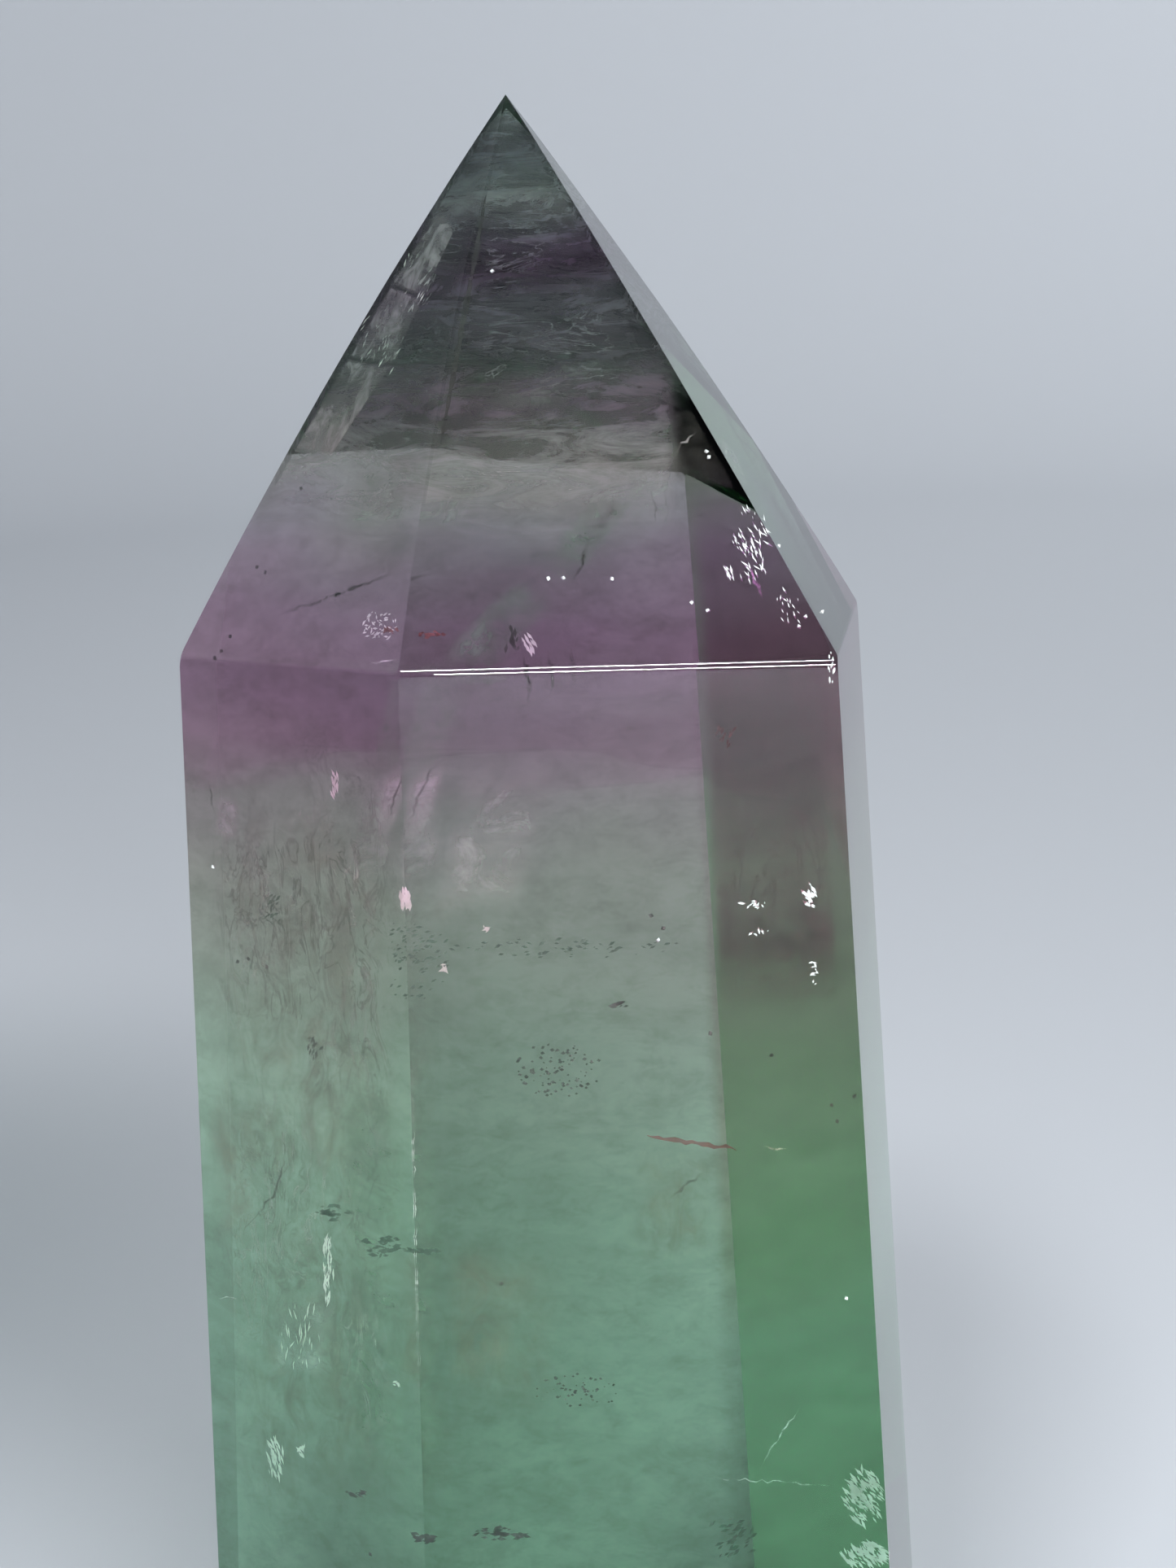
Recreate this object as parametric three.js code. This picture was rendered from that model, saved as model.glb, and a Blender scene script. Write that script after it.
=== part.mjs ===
// A polished fluorite tower: one natural crystal, cut as a six-sided body that widens slightly
// towards its flat foot and ends in a six-sided point. Millimetres, +Z up. The origin is at the
// foot, under the middle of the bounding box.
import * as THREE from "three";
import { ConvexGeometry } from "three/addons/geometries/ConvexGeometry.js";

// ---- driving dimensions, in millimetres and degrees ----
const HEIGHT = 190; // foot to tip, before the tip is cut again
const POINT_HEIGHT = 43; // mean shoulder to tip
const TIP_OFFSET = { x: -1.8, y: 0.3 }; // the tip stands a little off the axis

// The six corners of the shoulder, anticlockwise seen from above. It was ground by hand, so each
// corner has its own direction and distance from the axis, and its own lift above the mean shoulder.
const SHOULDER = [
  { direction: 198.8, reach: 32.9, lift: -1.7 },
  { direction: 248.9, reach: 29.5, lift: 0 },
  { direction: 314.9, reach: 33.2, lift: -1.3 },
  { direction: 11.8, reach: 27.9, lift: -2.7 },
  { direction: 63.1, reach: 23.4, lift: 2.8 },
  { direction: 128.5, reach: 35.2, lift: 4.1 },
];
// The six sides, each after its corner. A body face leans out by its flare, going down. The face of
// the point above it starts higher than the line between the corners by its raise, is domed by its
// bulge half-way up, and meets the body face in a rounded edge. The upright edges are crisp.
const SIDES = [
  { flare: 2.8, raise: 0, bulge: 1.0, rounding: 1.0 },
  { flare: 1.9, raise: 0, bulge: 0.7, rounding: 1.6 },
  { flare: 2.4, raise: 0.5, bulge: 0.45, rounding: 1.2 },
  { flare: 1.7, raise: 0, bulge: 1.1, rounding: 1.0 },
  { flare: 1.2, raise: 0, bulge: 0.25, rounding: 1.0 },
  { flare: 2.0, raise: 0, bulge: 0.65, rounding: 1.0 },
];
const CORNER_ROUNDING = 4; // where an upright edge turns into a ridge of the point

const RECUT_LENGTH = 1.1; // the last stretch below the tip was cut again, a little blunter,
const RECUT_LOSS = 0.13; // which took this much off the height
const FOOT_ROUNDING = 0.8;

const ARC_STEPS = 5; // turns from face to face across a rounded edge
const DOME_STEPS = 4; // turns up a domed face
const TOUCH = 1e-6; // closer than this, a point lies on a plane
const SAME_POINT = 1e-4; // closer than this, two points are one

const UP = new THREE.Vector3(0, 0, 1);
const DOWN = new THREE.Vector3(0, 0, -1);
const shoulderHeight = HEIGHT - POINT_HEIGHT;
const tip = new THREE.Vector3(TIP_OFFSET.x, TIP_OFFSET.y, HEIGHT);

// The level direction that points away from the axis, at an angle in degrees.
function outward(direction) {
  return new THREE.Vector3(1, 0, 0).applyAxisAngle(UP, THREE.MathUtils.degToRad(direction));
}

// A corner of the shoulder as a point.
function shoulderPoint({ direction, reach, lift }) {
  return outward(direction).multiplyScalar(reach).setZ(shoulderHeight + lift);
}

// The plane through a point that is perpendicular to a direction, facing that way.
function planeThrough(point, normal) {
  return new THREE.Plane().setFromNormalAndCoplanarPoint(normal.clone().normalize(), point);
}

// A face of the body: it holds one side of the shoulder and leans out by its flare.
function bodyFace(start, end, flare) {
  const side = end.clone().sub(start);
  const away = side.clone().cross(UP).normalize();
  const angle = THREE.MathUtils.degToRad(flare);
  const downhill = away.multiplyScalar(Math.sin(angle)).addScaledVector(UP, -Math.cos(angle));
  return planeThrough(start, downhill.cross(side));
}

// A domed face of the point, as the planes that touch it at even steps from its lower edge up to
// the tip.
function domedFace(start, end, bulge) {
  const side = end.clone().sub(start).normalize();
  const uphill = tip.clone().sub(start);
  uphill.addScaledVector(side, -uphill.dot(side));
  const length = uphill.length();
  const normal = side.cross(uphill).normalize();
  return Array.from({ length: DOME_STEPS + 1 }, (_, step) => {
    const share = step / DOME_STEPS;
    const rise = 4 * bulge * share * (1 - share);
    const slope = (4 * bulge * (1 - 2 * share)) / length;
    const touched = start.clone().addScaledVector(uphill, share).addScaledVector(normal, rise);
    return planeThrough(touched, normal.clone().addScaledVector(uphill, -slope / length));
  });
}

// The planes that round an edge between two faces, which meet at a point of that edge.
function roundedEdge(point, first, last, radius) {
  const inset = -radius / (1 + first.dot(last));
  const axis = point.clone().addScaledVector(first, inset).addScaledVector(last, inset);
  return Array.from({ length: ARC_STEPS - 1 }, (_, step) => {
    const normal = first.clone().lerp(last, (step + 1) / ARC_STEPS).normalize();
    return planeThrough(axis.clone().addScaledVector(normal, radius), normal);
  });
}

// A face that was cut again between two ridges, up to the lowered tip.
function recutFace(start, end) {
  const share = 1 - RECUT_LENGTH / POINT_HEIGHT;
  const low = start.clone().lerp(tip, share);
  const across = end.clone().lerp(tip, share).sub(low);
  const newTip = tip.clone().addScaledVector(UP, -RECUT_LOSS);
  return planeThrough(low, across.cross(newTip.sub(low)));
}

// The point where three planes meet, or null where they don't.
function meetingPoint(a, b, c) {
  const bc = b.normal.clone().cross(c.normal);
  const volume = a.normal.dot(bc);
  if (Math.abs(volume) < TOUCH) return null;
  const ca = c.normal.clone().cross(a.normal);
  const ab = a.normal.clone().cross(b.normal);
  const sum = bc.multiplyScalar(a.constant);
  sum.addScaledVector(ca, b.constant);
  sum.addScaledVector(ab, c.constant);
  return sum.multiplyScalar(-1 / volume);
}

// Every set of three out of a list.
function triples(list) {
  return list.flatMap((a, i) =>
    list.slice(i + 1).flatMap((b, j) => list.slice(i + j + 2).map((c) => [a, b, c])),
  );
}

// The corners of the body that lies behind all of some planes.
function cornersBehind(planes) {
  const corners = [];
  for (const three of triples(planes)) {
    const point = meetingPoint(...three);
    if (!point) continue;
    if (planes.some((plane) => plane.distanceToPoint(point) > TOUCH)) continue;
    if (corners.some((corner) => corner.distanceTo(point) < SAME_POINT)) continue;
    corners.push(point);
  }
  return corners;
}

// One side of the tower: its body face, the rounded edges at its foot and shoulder, its domed face
// of the point, and the short face below the tip.
function towerSide({ flare, raise, bulge, rounding }, start, end) {
  const body = bodyFace(start, end, flare);
  const [left, right] = [start, end].map((corner) =>
    body.projectPoint(corner.clone().addScaledVector(UP, raise), new THREE.Vector3()),
  );
  const dome = domedFace(left, right, bulge);
  const level = new THREE.Vector3(body.normal.x, body.normal.y, 0);
  const footPoint = level.clone().multiplyScalar(-body.constant / level.lengthSq());
  const roundings = [
    ...roundedEdge(footPoint, DOWN, body.normal, FOOT_ROUNDING),
    ...roundedEdge(left, body.normal, dome[0].normal, rounding),
  ];
  return { body, dome, roundings, recut: recutFace(left, right) };
}

// The planes that round a corner of the shoulder, from the upright edge between two sides to the
// ridge above it.
function roundedCorner(corner, before, after) {
  const offEdge = before.body.normal.clone().add(after.body.normal).normalize();
  const offRidge = before.dome[0].normal.clone().add(after.dome[0].normal).normalize();
  return roundedEdge(corner, offEdge, offRidge, CORNER_ROUNDING);
}

// All the planes of the tower.
function towerPlanes() {
  const corners = SHOULDER.map(shoulderPoint);
  const count = corners.length;
  const sides = SIDES.map((side, k) => towerSide(side, corners[k], corners[(k + 1) % count]));
  return [
    planeThrough(new THREE.Vector3(), DOWN),
    ...sides.flatMap(({ body, dome, roundings, recut }) => [body, ...roundings, ...dome, recut]),
    ...sides.flatMap((side, k) => roundedCorner(corners[k], sides[(k + count - 1) % count], side)),
  ];
}

// The whole tower, moved so that the origin is under the middle of its box.
function towerGeometry() {
  const geometry = new ConvexGeometry(cornersBehind(towerPlanes()));
  geometry.computeBoundingBox();
  const middle = geometry.boundingBox.getCenter(new THREE.Vector3());
  return geometry.translate(-middle.x, -middle.y, -geometry.boundingBox.min.z);
}

const fluorite = new THREE.MeshStandardMaterial({
  color: 0x93b5a3,
  roughness: 0.05,
  metalness: 0,
});

const tower = new THREE.Mesh(towerGeometry(), fluorite);
tower.name = "fluorite_tower";

const part = new THREE.Group();
part.add(tower);
export default part;
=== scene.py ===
# A polished fluorite tower: one clear crystal with colour zones, veils and fractures inside, and painted
# shade, light and glints among them, on a pale seamless floor. Lengths are in millimetres until they are
# scaled by MM.
import math
import random
from collections import namedtuple

import bmesh
import bpy
from mathutils import Matrix, Vector, noise
from mathutils.bvhtree import BVHTree


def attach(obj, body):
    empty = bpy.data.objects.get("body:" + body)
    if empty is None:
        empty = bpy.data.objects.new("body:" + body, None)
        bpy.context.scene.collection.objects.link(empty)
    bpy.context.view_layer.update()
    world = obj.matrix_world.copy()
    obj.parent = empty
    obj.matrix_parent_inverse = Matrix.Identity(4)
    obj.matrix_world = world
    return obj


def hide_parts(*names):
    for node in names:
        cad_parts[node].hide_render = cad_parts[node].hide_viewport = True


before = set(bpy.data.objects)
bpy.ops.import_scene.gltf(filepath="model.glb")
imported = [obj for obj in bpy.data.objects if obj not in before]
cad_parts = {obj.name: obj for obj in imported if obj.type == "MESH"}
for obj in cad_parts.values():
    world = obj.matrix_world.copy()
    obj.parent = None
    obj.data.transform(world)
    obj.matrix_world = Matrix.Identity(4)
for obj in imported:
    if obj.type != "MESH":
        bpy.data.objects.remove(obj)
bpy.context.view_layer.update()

MM = 0.001
UP = Vector((0, 0, 1))
DOWN = Vector((0, 0, -1))

# ---- the tower's driving dimensions, in millimetres and degrees, as in the solid ----
HEIGHT = 190
POINT_HEIGHT = 43
TIP = Vector((-1.8, 0.3, HEIGHT))
SHOULDER = [
    {"direction": 198.8, "reach": 32.9, "lift": -1.7},
    {"direction": 248.9, "reach": 29.5, "lift": 0},
    {"direction": 314.9, "reach": 33.2, "lift": -1.3},
    {"direction": 11.8, "reach": 27.9, "lift": -2.7},
    {"direction": 63.1, "reach": 23.4, "lift": 2.8},
    {"direction": 128.5, "reach": 35.2, "lift": 4.1},
]
SIDES = [
    {"flare": 2.8, "raise": 0, "bulge": 1.0, "rounding": 1.0},
    {"flare": 1.9, "raise": 0, "bulge": 0.7, "rounding": 1.6},
    {"flare": 2.4, "raise": 0.5, "bulge": 0.45, "rounding": 1.2},
    {"flare": 1.7, "raise": 0, "bulge": 1.1, "rounding": 1.0},
    {"flare": 1.2, "raise": 0, "bulge": 0.25, "rounding": 1.0},
    {"flare": 2.0, "raise": 0, "bulge": 0.65, "rounding": 1.0},
]
CORNER_ROUNDING = 4  # where an upright edge turns into a ridge of the point
RECUT_LENGTH = 1.1  # the last stretch below the tip was cut again, a little blunter,
RECUT_LOSS = 0.13  # which took this much off the height
FOOT_ROUNDING = 0.8

# How many turns a rounded edge and a domed face are made of.
Steps = namedtuple("Steps", "arc dome")
SOLID_STEPS = Steps(arc=5, dome=4)
FINE_STEPS = Steps(arc=12, dome=16)

BLOCK_SIZE = 3 * HEIGHT  # the cube that the tower is cut out of
TOUCH = 1e-4  # closer than this, a point lies on a plane
SAME_POINT = 1e-3  # closer than this, two points are one
SHARP_ANGLE = math.radians(20)


# ---- the tower's shape ----

Plane = namedtuple("Plane", "point normal")


def outward(direction):
    """The level direction that points away from the axis, at an angle in degrees."""
    angle = math.radians(direction)
    return Vector((math.cos(angle), math.sin(angle), 0))


def shoulder_point(corner):
    return outward(corner["direction"]) * corner["reach"] + UP * (HEIGHT - POINT_HEIGHT + corner["lift"])


def plane_through(point, normal):
    return Plane(point.copy(), normal.normalized())


def body_face(start, end, flare):
    """A face of the body: it holds one side of the shoulder and leans out by its flare."""
    side = end - start
    away = side.cross(UP).normalized()
    downhill = away * math.sin(math.radians(flare)) - UP * math.cos(math.radians(flare))
    return plane_through(start, downhill.cross(side))


def raised_on(face, point, height):
    """A point moved up by a height and back onto a face, straight towards it."""
    raised = point + UP * height
    return raised - face.normal * (raised - face.point).dot(face.normal)


def domed_face(start, end, bulge, steps):
    """The planes that touch a domed face of the point, from its lower edge up to the tip."""
    side = (end - start).normalized()
    uphill = TIP - start
    uphill -= side * uphill.dot(side)
    length = uphill.length
    normal = side.cross(uphill).normalized()
    planes = []
    for step in range(steps + 1):
        share = step / steps
        rise = 4 * bulge * share * (1 - share)
        slope = 4 * bulge * (1 - 2 * share) / length
        touched = start + uphill * share + normal * rise
        planes.append(plane_through(touched, normal - uphill * (slope / length)))
    return planes


def rounded_edge(point, first, last, radius, steps):
    """The planes that round the edge between two faces, which meet at a point of it."""
    axis = point - (first + last) * (radius / (1 + first.dot(last)))
    planes = []
    for step in range(1, steps):
        normal = first.lerp(last, step / steps).normalized()
        planes.append(plane_through(axis + normal * radius, normal))
    return planes


def recut_face(start, end):
    """A face that was cut again between two ridges, up to the lowered tip."""
    share = 1 - RECUT_LENGTH / POINT_HEIGHT
    low = start.lerp(TIP, share)
    across = end.lerp(TIP, share) - low
    return plane_through(low, across.cross(TIP - UP * RECUT_LOSS - low))


def tower_side(side, start, end, steps):
    """One side's body face, the rounded edges at its foot and shoulder, its domed face and the
    short face below the tip."""
    body = body_face(start, end, side["flare"])
    left, right = (raised_on(body, corner, side["raise"]) for corner in (start, end))
    dome = domed_face(left, right, side["bulge"], steps.dome)
    level = Vector((body.normal.x, body.normal.y, 0))
    foot_point = level * (body.point.dot(body.normal) / level.length_squared)
    roundings = [
        *rounded_edge(foot_point, DOWN, body.normal, FOOT_ROUNDING, steps.arc),
        *rounded_edge(left, body.normal, dome[0].normal, side["rounding"], steps.arc),
    ]
    return {"body": body, "dome": dome, "all": [body, *roundings, *dome, recut_face(left, right)]}


def rounded_corner(corner, before, after, steps):
    """The planes that round a corner of the shoulder, from its upright edge to its ridge."""
    off_edge = (before["body"].normal + after["body"].normal).normalized()
    off_ridge = (before["dome"][0].normal + after["dome"][0].normal).normalized()
    return rounded_edge(corner, off_edge, off_ridge, CORNER_ROUNDING, steps.arc)


def tower_planes(steps):
    corners = [shoulder_point(corner) for corner in SHOULDER]
    ends = corners[1:] + corners[:1]
    sides = [tower_side(*side, steps) for side in zip(SIDES, corners, ends)]
    planes = [plane_through(Vector(), DOWN)]
    for k, side in enumerate(sides):
        planes += side["all"]
        planes += rounded_corner(corners[k], sides[k - 1], side, steps)
    return planes


def cut_block(planes):
    """The body that lies behind all the planes."""
    bm = bmesh.new()
    bmesh.ops.create_cube(bm, size=BLOCK_SIZE)
    for plane in planes:
        everything = [*bm.verts, *bm.edges, *bm.faces]
        cut = bmesh.ops.bisect_plane(bm, geom=everything, dist=TOUCH, plane_co=plane.point,
                                     plane_no=plane.normal, clear_outer=True)
        rim = [part for part in cut["geom_cut"] if isinstance(part, bmesh.types.BMEdge)]
        if len(rim) > 2:
            bmesh.ops.contextual_create(bm, geom=rim)
    bmesh.ops.remove_doubles(bm, verts=bm.verts, dist=SAME_POINT)
    bmesh.ops.recalc_face_normals(bm, faces=bm.faces)
    return bm


def box_middle(bm):
    """The point on the floor under the middle of a body's box."""
    xs = [vertex.co.x for vertex in bm.verts]
    ys = [vertex.co.y for vertex in bm.verts]
    return Vector(((min(xs) + max(xs)) / 2, (min(ys) + max(ys)) / 2, 0))


def linked_object(name, mesh):
    obj = bpy.data.objects.new(name, mesh)
    bpy.context.scene.collection.objects.link(obj)
    return obj


def object_from(name, bm):
    """A new object from a body in millimetres, which it uses up."""
    bm.transform(Matrix.Scale(MM, 4))
    mesh = bpy.data.meshes.new(name)
    bm.to_mesh(mesh)
    bm.free()
    return linked_object(name, mesh)


def with_modifier(obj, kind, **settings):
    """The object after one modifier, applied."""
    modifier = obj.modifiers.new(kind.lower(), kind)
    for name, value in settings.items():
        setattr(modifier, name, value)
    graph = bpy.context.evaluated_depsgraph_get()
    mesh = bpy.data.meshes.new_from_object(obj.evaluated_get(graph))
    obj.modifiers.clear()
    obj.data = mesh
    return obj


MIDDLE = box_middle(cut_block(tower_planes(SOLID_STEPS)))  # the solid's origin lies below it


def tower_body(inset=0):
    """The tower's body, or a smaller one whose faces all lie an inset inside it."""
    planes = [plane_through(p.point - p.normal * inset, p.normal) for p in tower_planes(FINE_STEPS)]
    bm = cut_block(planes)
    bm.transform(Matrix.Translation(-MIDDLE))
    return bm


def tower():
    """The crystal, with crisp upright edges and ridges, and smoothly rounded foot, shoulder and corners.
    """
    obj = object_from("fluorite_crystal", tower_body())
    obj.data.shade_smooth()
    obj.data.set_sharp_from_angle(angle=SHARP_ANGLE)
    return with_modifier(obj, "WEIGHTED_NORMAL", weight=100, keep_sharp=True)


# ---- materials ----

class Shader:
    """A new material with one Principled surface, and short ways to add and join its nodes."""

    def __init__(self, name, **settings):
        self.material = bpy.data.materials.new(name)
        self.material.use_nodes = True
        self.tree = self.material.node_tree
        self.tree.nodes.clear()
        self.output = self.add("ShaderNodeOutputMaterial")
        self.surface = self.add("ShaderNodeBsdfPrincipled", **settings)
        self.join(self.surface.outputs[0], self.output.inputs["Surface"])

    def add(self, kind, **settings):
        """A new node. Each setting is a socket, with _ for a space in its name, or a property."""
        node = self.tree.nodes.new(kind)
        for name, value in settings.items():
            socket = node.inputs.get(name.replace("_", " "))
            if socket is None:
                setattr(node, name, value)
            else:
                socket.default_value = value
        return node

    def join(self, source, target):
        self.tree.links.new(source, target)

    def feed(self, socket, term):
        """Joins a node's outlet to a socket, or sets the socket to a number or colour."""
        if isinstance(term, bpy.types.NodeSocket):
            self.join(term, socket)
        else:
            socket.default_value = term

    def colour_by(self, outlet):
        self.join(outlet, self.surface.inputs["Base Color"])

    def show_by(self, outlet):
        """Lets the surface be seen only as far as an outlet's value says."""
        self.join(outlet, self.surface.inputs["Alpha"])

    def absorb(self, colour, density):
        """Plain absorption inside the closed mesh."""
        volume = self.add("ShaderNodeVolumeAbsorption", Color=(*colour, 1), Density=density)
        self.join(volume.outputs[0], self.output.inputs["Volume"])

    def math(self, operation, first, second=0, clamp=False):
        """The outcome of a sum, where each term is a number or a node's outlet."""
        node = self.add("ShaderNodeMath", operation=operation, use_clamp=clamp)
        self.feed(node.inputs[0], first)
        self.feed(node.inputs[1], second)
        return node.outputs[0]

    def place(self, stretch=(1, 1, 1)):
        """The place on the piece in metres, stretched along each axis."""
        coordinates = self.add("ShaderNodeTexCoord")
        mapping = self.add("ShaderNodeMapping", Scale=stretch)
        self.join(coordinates.outputs["Object"], mapping.inputs["Vector"])
        return mapping.outputs[0]

    def axis(self, vector, name):
        """One of the three numbers of a vector."""
        split = self.add("ShaderNodeSeparateXYZ")
        self.join(vector, split.inputs[0])
        return split.outputs[name]

    def noise(self, scale, detail=3, roughness=0.5, stretch=(1, 1, 1), distortion=0):
        """Noise from 0 to 1, with its mean at 0.5."""
        node = self.add("ShaderNodeTexNoise", Scale=scale, Detail=detail, Roughness=roughness,
                        Distortion=distortion)
        self.join(self.place(stretch), node.inputs["Vector"])
        return node.outputs["Fac"]

    def remap(self, value, low, high, to_low=0, to_high=1):
        """A value between two limits, eased to two others."""
        node = self.add("ShaderNodeMapRange", interpolation_type="SMOOTHSTEP", From_Min=low,
                        From_Max=high, To_Min=to_low, To_Max=to_high)
        self.join(value, node.inputs["Value"])
        return node.outputs[0]

    def wavy_height(self, scale, detail, swing):
        """The height as a share of the tower's, which noise moves by half a swing up and down."""
        waves = self.math("SUBTRACT", self.noise(scale, detail), 0.5)
        height = self.math("ADD", self.axis(self.place(), "Z"), self.math("MULTIPLY", waves, swing))
        return self.math("DIVIDE", height, HEIGHT * MM)

    def bands(self, share, colours):
        """A colour that changes smoothly with a share of the tower's height, through a list of
        heights in millimetres and their colours."""
        node = self.add("ShaderNodeValToRGB")
        elements = node.color_ramp.elements
        while len(elements) < len(colours):
            elements.new(1)
        for element, (height, colour) in zip(elements, colours):
            element.position = height / HEIGHT
            element.color = (*colour, 1)
        self.join(share, node.inputs[0])
        return node.outputs[0]

    def tint(self, first, second, share):
        """The first colour multiplied by the second one, as far as a share says."""
        node = self.add("ShaderNodeMix", data_type="RGBA", blend_type="MULTIPLY")
        self.feed(node.inputs[0], share)
        self.feed(node.inputs[6], first)
        self.feed(node.inputs[7], second)
        return node.outputs[2]


FLUORITE_IOR = 1.434
# Each metre absorbs red, green and blue by the density times what they lack of one here.
STONE_COLOUR = (0.40, 0.686, 0.445)
STONE_DENSITY = 29

# What the stone's colour zones let through from face to face, by height in millimetres.
ZONE_TINTS = [
    (0, (0.66, 0.88, 0.78)),
    (52, (0.85, 1.00, 1.00)),
    (70, (0.75, 0.94, 0.90)),
    (82, (0.78, 0.95, 0.88)),
    (93, (0.95, 1.00, 0.98)),
    (101, (0.99, 1.00, 1.00)),
    (108, (1.00, 0.90, 0.92)),
    (121, (0.96, 0.67, 0.77)),
    (129, (1.00, 0.65, 0.79)),
    (134, (0.92, 0.50, 0.74)),
    (141, (0.78, 0.40, 0.63)),
    (147, (0.94, 0.55, 0.86)),
    (151, (1.00, 0.66, 0.97)),
    (155, (1.00, 0.74, 1.00)),
    (160, (0.91, 0.75, 0.76)),
    (172, (0.80, 0.86, 0.83)),
    (176, (0.74, 0.62, 0.74)),
    (180, (0.82, 0.86, 0.84)),
    (190, (0.88, 0.92, 0.90)),
]
ZONE_SWING = 0.016  # metres between a zone border's lowest and highest places

# Towards its right corner, as seen from the front, painted shade darkens the stone's colour. It stands in
# for the long mirrored paths and the shadowed floor seen through there. What it lets through, by height in
# millimetres.
SIDE_SHADE_TINTS = [
    (40, (0.60, 0.68, 0.62)),
    (71, (0.57, 0.64, 0.58)),
    (89, (0.64, 0.68, 0.66)),
    (98, (0.48, 0.49, 0.35)),
    (106, (0.71, 0.49, 0.44)),
    (115, (0.50, 0.37, 0.31)),
    (119, (0.53, 0.34, 0.32)),
    (123, (0.37, 0.22, 0.20)),
    (129, (0.53, 0.28, 0.32)),
    (134, (0.36, 0.18, 0.21)),
    (139, (0.30, 0.15, 0.17)),
    (144, (0.40, 0.14, 0.22)),
    (148, (0.48, 0.19, 0.35)),
    (153, (0.78, 0.48, 0.80)),
    (159, (1.00, 1.00, 1.00)),
]
SIDE_SHADE_SPAN = (0.0138, 0.0156)  # metres to the right of the middle, from unshaded to fully painted shade

CLOUD_TINT = (0.78, 0.80, 0.78, 1)
MOTTLE_TINT = (0.80, 0.80, 0.78, 1)


def crystal_material():
    """Clear fluorite. The zones' colour lies in wavy bands, with clouds drawn out along them and
    finer mottles. Painted shade darkens it towards the right corner."""
    shader = Shader("fluorite", Roughness=0.0, IOR=FLUORITE_IOR, Transmission_Weight=1.0)
    shader.absorb(STONE_COLOUR, STONE_DENSITY)
    share = shader.wavy_height(scale=45, detail=2, swing=ZONE_SWING)
    side_shade = shader.remap(shader.axis(shader.place(), "X"), *SIDE_SHADE_SPAN)
    # painted shade towards the right corner darkens the zones' colour
    zones = shader.tint(shader.bands(share, ZONE_TINTS), shader.bands(share, SIDE_SHADE_TINTS), side_shade)
    clouds = shader.noise(scale=60, detail=6, roughness=0.68, stretch=(1, 1, 2.2), distortion=0.8)
    cloudy = shader.tint(zones, CLOUD_TINT, shader.remap(clouds, 0.40, 0.66))
    mottles = shader.noise(scale=330, detail=5, roughness=0.7, stretch=(1, 1, 1.6), distortion=0.5)
    shader.colour_by(shader.tint(cloudy, MOTTLE_TINT, shader.remap(mottles, 0.44, 0.70)))
    return shader.material


def zone_material(name, colour, density):
    """Stone of the same kind that only absorbs more, so that nothing bends at its border."""
    shader = Shader(name, Base_Color=(1, 1, 1, 1), Roughness=0.0, IOR=1.0, Transmission_Weight=1.0)
    shader.absorb(colour, density)
    return shader.material


PAPER_COLOUR = (0.40, 0.425, 0.46, 1)
SHADE_TINT = (0.60, 0.63, 0.63, 1)  # what a soft shadow leaves of the paper's colour,
SHADE_PLACE = (-0.17, 0.17, 0)  # to the left behind the tower, in metres,
SHADE_REACH = (0.02, 0.17)  # where it starts to fade and where it ends


def paper_material():
    """Pale blue-grey paper, with a soft shadow to the left of the tower."""
    shader = Shader("backdrop_paper", Roughness=0.9)
    distance = shader.add("ShaderNodeVectorMath", operation="DISTANCE")
    shader.join(shader.place(), distance.inputs[0])
    distance.inputs[1].default_value = SHADE_PLACE
    shade = shader.remap(distance.outputs["Value"], *SHADE_REACH, 1, 0)
    shader.colour_by(shader.tint(PAPER_COLOUR, SHADE_TINT, shade))
    return shader.material


# ---- zones inside the stone ----

# A zone's borders and the height of their waves in millimetres, and its dip towards the back in
# degrees.
Zone = namedtuple("Zone", "low high dip wave seed")
PURPLE_ZONE = Zone(low=133, high=146, dip=4, wave=3, seed=3)
PURPLE = (0.83, 0.21, 0.71)
PURPLE_DENSITY = 13

ZONE_INSET = 0.25  # millimetres below the stone's surface
ZONE_CELL = 2.5  # size of the facets of a zone's wavy borders
SLAB_HALF = 45  # half the width of the slab that a zone is cut out of
LONG_WAVE, SHORT_WAVE = 22, 7  # lengths of the waves
SHORT_WAVE_SHARE = 0.3  # height of the short ones, as a share of the long ones'
WAVE_CHANGE = 9  # height after which a border has other waves


def wavy_slab(shape):
    """A closed slab wider than the tower, between a zone's wavy borders."""
    bm = bmesh.new()
    cells = round(2 * SLAB_HALF / ZONE_CELL)
    bmesh.ops.create_grid(bm, x_segments=cells, y_segments=cells, size=SLAB_HALF)
    top = bmesh.ops.extrude_face_region(bm, geom=bm.faces[:])
    lifted = {part for part in top["geom"] if isinstance(part, bmesh.types.BMVert)}
    for vertex in bm.verts:
        x, y = vertex.co.x, vertex.co.y
        side = shape.high if vertex in lifted else shape.low
        swell = Vector((x / LONG_WAVE, y / LONG_WAVE, shape.seed + side / WAVE_CHANGE))
        ripple = Vector((x / SHORT_WAVE, y / SHORT_WAVE, shape.seed - side / WAVE_CHANGE))
        vertex.co.z = side - y * math.tan(math.radians(shape.dip))
        vertex.co.z += shape.wave * (noise.noise(swell) + SHORT_WAVE_SHARE * noise.noise(ripple))
    bmesh.ops.recalc_face_normals(bm, faces=bm.faces)
    return bm


def stone_zone(name, shape, material):
    """The part of the stone between a zone's borders, as a closed mesh of its own."""
    zone = object_from(name, wavy_slab(shape))
    core = object_from("zone_limit", tower_body(ZONE_INSET))
    with_modifier(zone, "BOOLEAN", operation="INTERSECT", object=core, solver="EXACT")
    bpy.data.objects.remove(core)
    zone.data.materials.clear()
    zone.data.materials.append(material)
    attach(zone, "root")
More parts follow.
